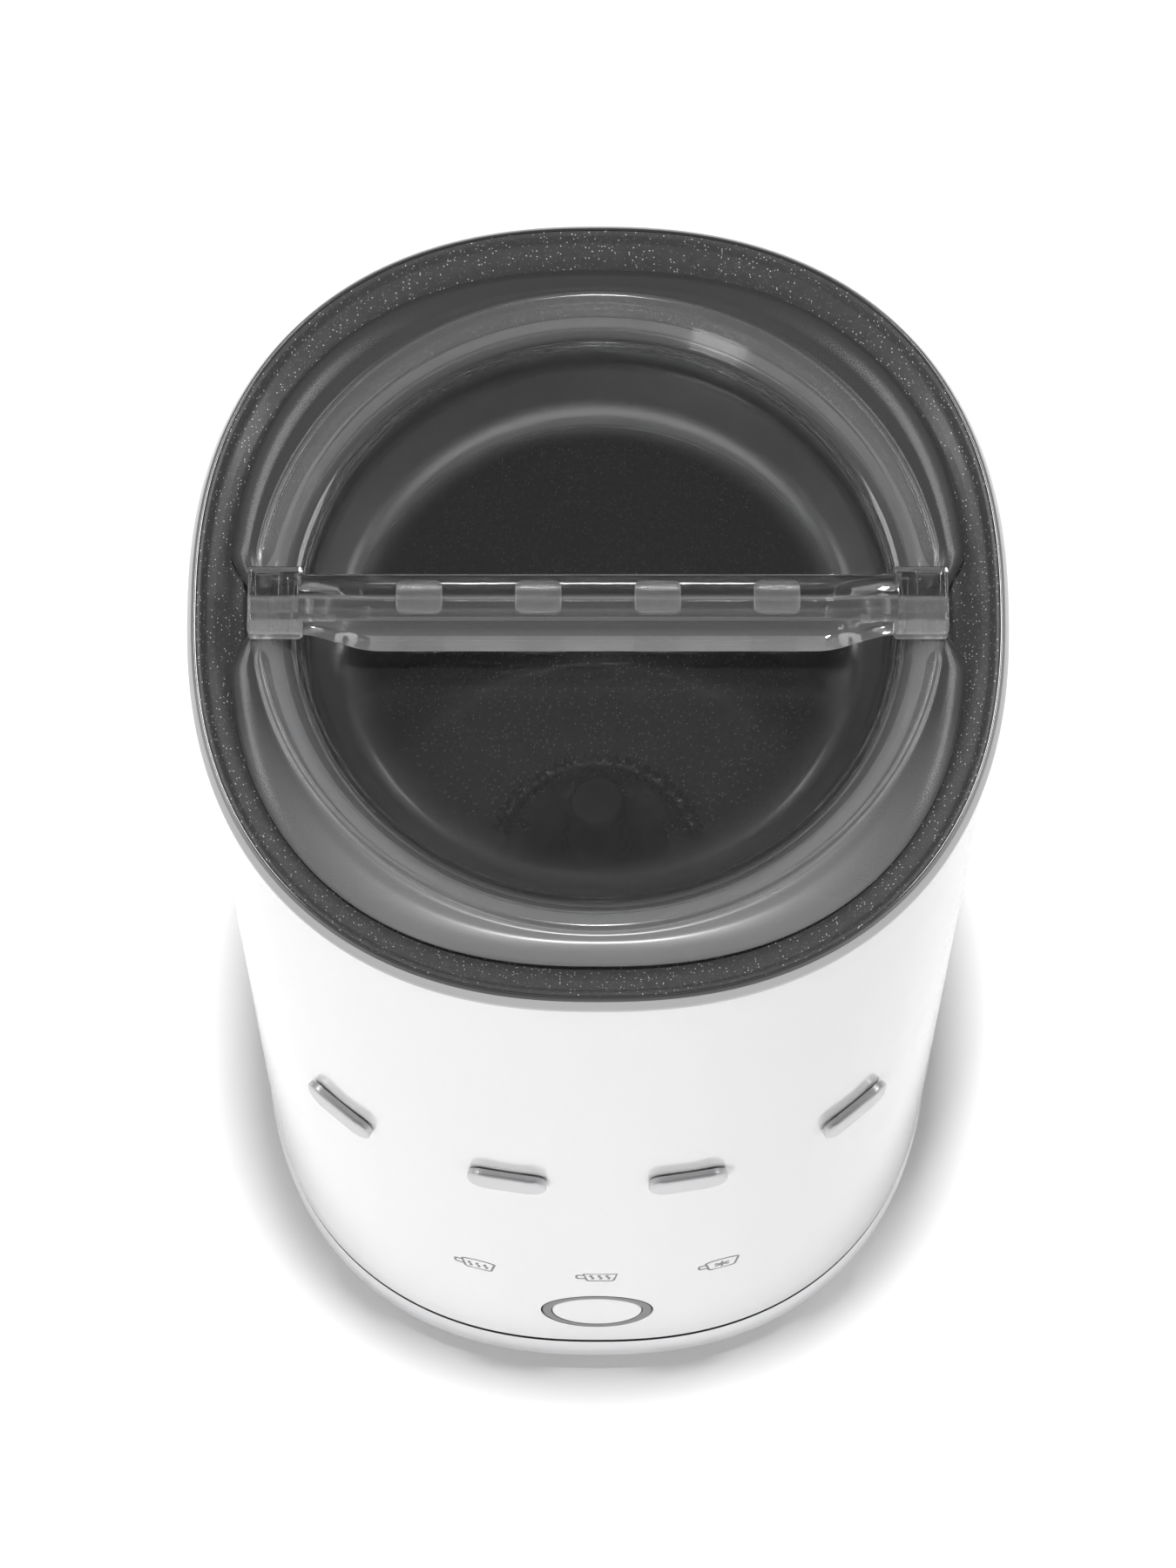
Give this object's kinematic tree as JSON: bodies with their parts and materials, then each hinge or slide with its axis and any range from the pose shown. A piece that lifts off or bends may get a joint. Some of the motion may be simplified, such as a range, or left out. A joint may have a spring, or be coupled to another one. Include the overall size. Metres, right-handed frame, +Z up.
{
  "type": "electric milk frother",
  "caption": "Jug-shaped electric milk frother with a squarish round plan, clear lid with a bar handle, magnetically driven whisk, and a power base that the jug lifts off.",
  "frame": {"origin": "centre of the footprint, on the surface the feet stand on", "axes": "+Z up, -Y the front, where the button and the three indicators are, +Y the back, where the cord enters the base, +X to the right of the button as the front is looked at"},
  "size_m": [0.107, 0.1102, 0.178],
  "materials": {
    "white_gloss": "glossy white",
    "silver_satin": "satin silver paint",
    "coated_steel": "dark speckled non-stick coating inside, polished lip",
    "stainless_steel": "bright",
    "chrome": "polished",
    "clear_plastic": "clear, polished",
    "grey_silicone": "soft matte",
    "dark_ring": "satin dark grey",
    "black_rubber": "matte",
    "black_plastic": "matte",
    "inner_plastic": "matte",
    "brass": "plain",
    "aluminium": "as cast",
    "circuit_board": "solder-masked",
    "magnet": "nickel plated",
    "red_insulation": "matte",
    "blue_insulation": "matte"
  },
  "bodies": {
    "base": {"base_shell": "silver_satin", "base_plate": "black_plastic", "cord_gland": "black_rubber", "base_connector": "black_plastic", "contact_ring_outer": "brass", "contact_ring_inner": "brass", "contact_pin": "brass", "base_screw_1": "stainless_steel", "base_screw_2": "stainless_steel", "base_screw_3": "stainless_steel", "foot_1": "black_rubber", "foot_2": "black_rubber", "foot_3": "black_rubber", "foot_4": "black_rubber"},
    "jug": {"outer_shell": "white_gloss", "bottom_cover": "inner_plastic", "cup": "coated_steel", "cup_support_ring": "grey_silicone", "pivot_pin": "stainless_steel", "heater_plate": "aluminium", "heating_element": "stainless_steel", "thermostat": "black_plastic", "temperature_sensor": "brass", "motor_frame": "inner_plastic", "motor": "stainless_steel", "control_board": "circuit_board", "press_switch": "black_plastic", "live_lead": "red_insulation", "neutral_lead": "blue_insulation", "jug_socket": "black_plastic", "socket_contact_outer": "brass", "socket_contact_inner": "brass", "button_ring": "dark_ring", "cover_screw_1": "stainless_steel", "indicator_led_1": "clear_plastic", "light_guide_1": "clear_plastic", "cover_screw_2": "stainless_steel", "indicator_led_2": "clear_plastic", "light_guide_2": "clear_plastic", "cover_screw_3": "stainless_steel", "indicator_led_3": "clear_plastic", "light_guide_3": "clear_plastic", "trim_bar_1": "chrome", "trim_bar_2": "chrome", "trim_bar_3": "chrome", "trim_bar_4": "chrome"},
    "drive": {"motor_shaft": "stainless_steel", "magnet_carrier": "inner_plastic", "drive_magnet_1": "magnet", "drive_magnet_2": "magnet"},
    "button": {"push_button": "white_gloss"},
    "lid": {"lid_shell": "clear_plastic", "lid_gasket": "grey_silicone", "lid_handle": "clear_plastic"},
    "whisk_seat": {"whisk_bush": "inner_plastic"},
    "whisk": {"whisk_hub": "black_plastic", "whisk_coil": "stainless_steel", "whisk_magnet_1": "magnet", "whisk_magnet_2": "magnet"}
  },
  "joints": [
    {"name": "jug_lift", "type": "slide", "parent": "base", "child": "jug", "axis": [0, 0, 1], "range_m": [0, 0.06]},
    {"name": "lid_lift", "type": "slide", "parent": "jug", "child": "lid", "axis": [0, 0, 1], "range_m": [0, 0.06]},
    {"name": "drive_spin", "type": "hinge", "parent": "jug", "child": "drive", "pos_m": [0, 0, 0.0645], "axis": [0, 0, 1], "continuous": true},
    {"name": "whisk_lift", "type": "slide", "parent": "jug", "child": "whisk_seat", "axis": [0, 0, 1], "range_m": [0, 0.05]},
    {"name": "whisk_spin", "type": "hinge", "parent": "whisk_seat", "child": "whisk", "pos_m": [0, 0, 0.077], "axis": [0, 0, 1], "continuous": true},
    {"name": "button_press", "type": "slide", "parent": "jug", "child": "button", "axis": [0, 1, 0], "range_m": [0, 0.0008], "stiffness_N_per_m": 900, "springref_m": -0.001}
  ],
  "couplings": [
    {"joint": "whisk_spin", "follows": "drive_spin", "ratio": 1}
  ]
}
